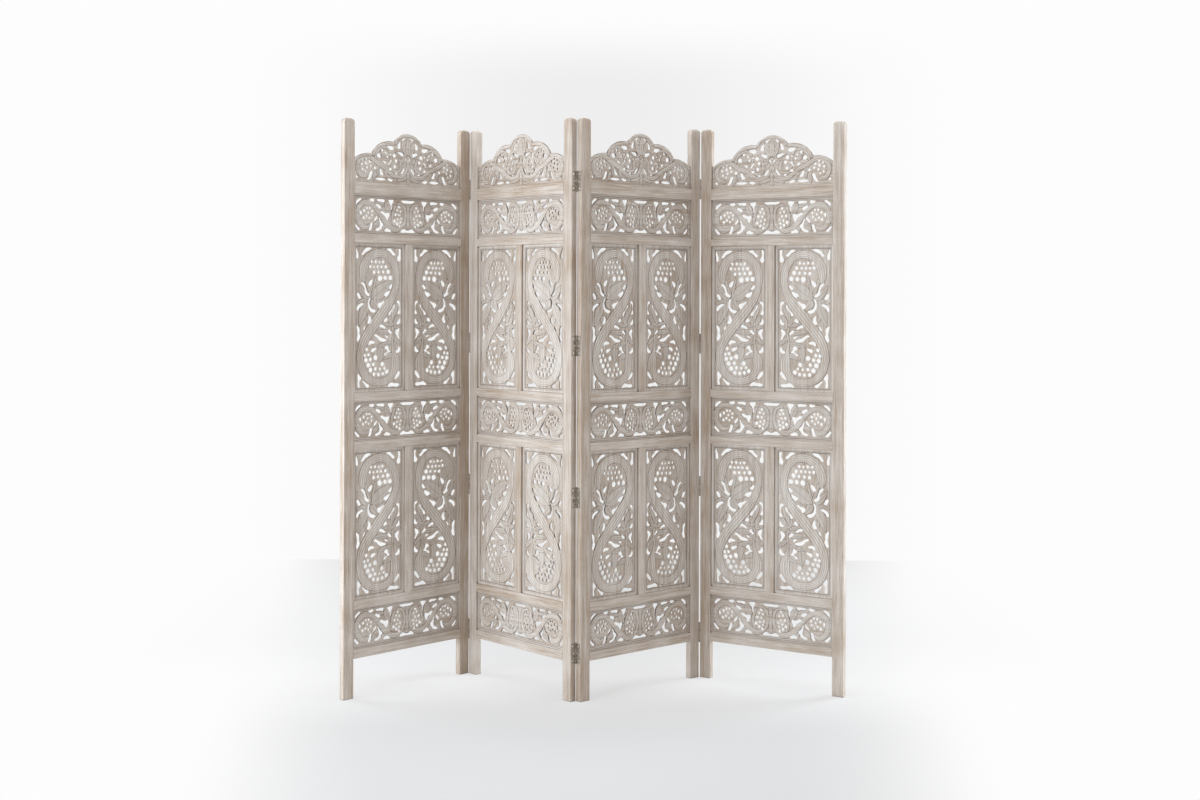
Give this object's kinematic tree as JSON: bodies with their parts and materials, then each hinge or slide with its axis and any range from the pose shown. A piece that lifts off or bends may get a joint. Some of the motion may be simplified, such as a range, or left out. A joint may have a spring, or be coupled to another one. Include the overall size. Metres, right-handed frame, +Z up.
{
  "type": "folding room divider screen",
  "caption": "Folding screen of hinged frame-and-panel wings with pierced vine carvings, scalloped crests and domed posts, standing in a zigzag on the feet of its stiles.",
  "frame": {"origin": "middle of the whole screen's bounding box, on the floor", "axes": "+Z up, +X to the right across the screen as seen from its front, +Y from the front to the back"},
  "size_m": [1.5996, 0.385, 1.829],
  "materials": {
    "frame_wood": "limewashed, wire-brushed, grain showing",
    "carved_wood": "limewashed carving, darker in the cuts",
    "hinge_steel": "zinc plated, dulled",
    "pin_steel": "plain steel",
    "screw_steel": "plain steel, tarnished"
  },
  "bodies": {
    "wing_1": {"wing_1_crest": "carved_wood", "wing_1_hinge_leaves": "hinge_steel", "wing_1_hinge_screws": "screw_steel", "wing_1_left_stile": "frame_wood", "wing_1_lower_band": "carved_wood", "wing_1_lower_left_carving": "carved_wood", "wing_1_lower_right_carving": "carved_wood", "wing_1_middle_band": "carved_wood", "wing_1_muntins": "frame_wood", "wing_1_rails": "frame_wood", "wing_1_right_stile": "frame_wood", "wing_1_upper_band": "carved_wood", "wing_1_upper_left_carving": "carved_wood", "wing_1_upper_right_carving": "carved_wood", "hinge_pins_1_2": "pin_steel"},
    "wing_2": {"wing_2_crest": "carved_wood", "wing_2_hinge_leaves": "hinge_steel", "wing_2_hinge_screws": "screw_steel", "wing_2_left_stile": "frame_wood", "wing_2_lower_band": "carved_wood", "wing_2_lower_left_carving": "carved_wood", "wing_2_lower_right_carving": "carved_wood", "wing_2_middle_band": "carved_wood", "wing_2_muntins": "frame_wood", "wing_2_rails": "frame_wood", "wing_2_right_stile": "frame_wood", "wing_2_upper_band": "carved_wood", "wing_2_upper_left_carving": "carved_wood", "wing_2_upper_right_carving": "carved_wood", "hinge_pins_2_3": "pin_steel"},
    "wing_3": {"wing_3_crest": "carved_wood", "wing_3_hinge_leaves": "hinge_steel", "wing_3_hinge_screws": "screw_steel", "wing_3_left_stile": "frame_wood", "wing_3_lower_band": "carved_wood", "wing_3_lower_left_carving": "carved_wood", "wing_3_lower_right_carving": "carved_wood", "wing_3_middle_band": "carved_wood", "wing_3_muntins": "frame_wood", "wing_3_rails": "frame_wood", "wing_3_right_stile": "frame_wood", "wing_3_upper_band": "carved_wood", "wing_3_upper_left_carving": "carved_wood", "wing_3_upper_right_carving": "carved_wood", "hinge_pins_3_4": "pin_steel"},
    "wing_4": {"wing_4_crest": "carved_wood", "wing_4_hinge_leaves": "hinge_steel", "wing_4_hinge_screws": "screw_steel", "wing_4_left_stile": "frame_wood", "wing_4_lower_band": "carved_wood", "wing_4_lower_left_carving": "carved_wood", "wing_4_lower_right_carving": "carved_wood", "wing_4_middle_band": "carved_wood", "wing_4_muntins": "frame_wood", "wing_4_rails": "frame_wood", "wing_4_right_stile": "frame_wood", "wing_4_upper_band": "carved_wood", "wing_4_upper_left_carving": "carved_wood", "wing_4_upper_right_carving": "carved_wood"}
  },
  "joints": [
    {"name": "fold_1_2", "type": "hinge", "parent": "wing_2", "child": "wing_1", "pos_m": [-0.42385, 0.17732, 0.9], "axis": [0, 0, 1], "range_deg": [-91.3, 88.7]},
    {"name": "fold_2_3", "type": "hinge", "parent": "wing_2", "child": "wing_3", "pos_m": [-0.05722, -0.17591, 0.9], "axis": [0, 0, 1], "range_deg": [-86, 94]},
    {"name": "fold_3_4", "type": "hinge", "parent": "wing_3", "child": "wing_4", "pos_m": [0.35089, 0.13096, 0.9], "axis": [0, 0, 1], "range_deg": [-109.7, 70.3]}
  ]
}
